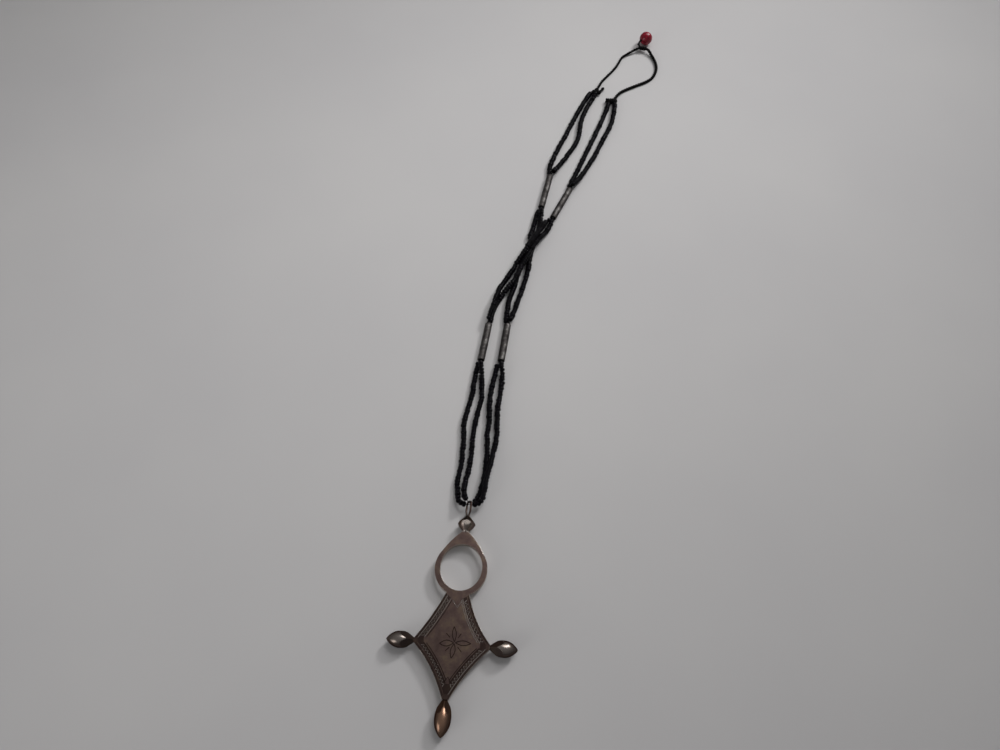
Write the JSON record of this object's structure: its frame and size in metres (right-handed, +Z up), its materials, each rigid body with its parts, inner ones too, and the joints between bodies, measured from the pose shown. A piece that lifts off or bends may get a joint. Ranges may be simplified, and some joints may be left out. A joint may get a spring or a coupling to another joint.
{
  "type": "tuareg cross pendant necklace",
  "caption": "Cast silver desert cross with a ring, an engraved plate and three drops, hung on strands of small black beads with silver tubes and a red closing bead.",
  "frame": {"origin": "on the table, under the middle of the necklace's box without its two free cords", "axes": "+Y runs along the necklace from the drop below the plate to the red closing bead, +Z is up from the table, and +X is to the right seen from above"},
  "size_m": [0.0967, 0.3677, 0.0069],
  "materials": {
    "worn_silver": "old cast silver, darkened in the lines and polished on the drops",
    "tube_silver": "worn silver tube with a soft shine",
    "black_beads": "opaque black glass beads, shiny",
    "black_thread": "waxed black cotton cord",
    "red_glass": "opaque red glass, shiny"
  },
  "bodies": {
    "root": {"cross": "worn_silver", "tube_lower_left": "tube_silver", "tube_lower_right": "tube_silver", "tube_upper_left": "tube_silver", "tube_upper_right": "tube_silver", "strand_left_outer": "black_beads", "strand_left_inner": "black_beads", "strand_right_inner": "black_beads", "strand_right_outer": "black_beads", "knot_left": "black_thread", "knot_right": "black_thread", "cord_left": "black_thread", "cord_right": "black_thread", "closing_knot": "black_thread", "red_bead": "red_glass"}
  },
  "joints": []
}
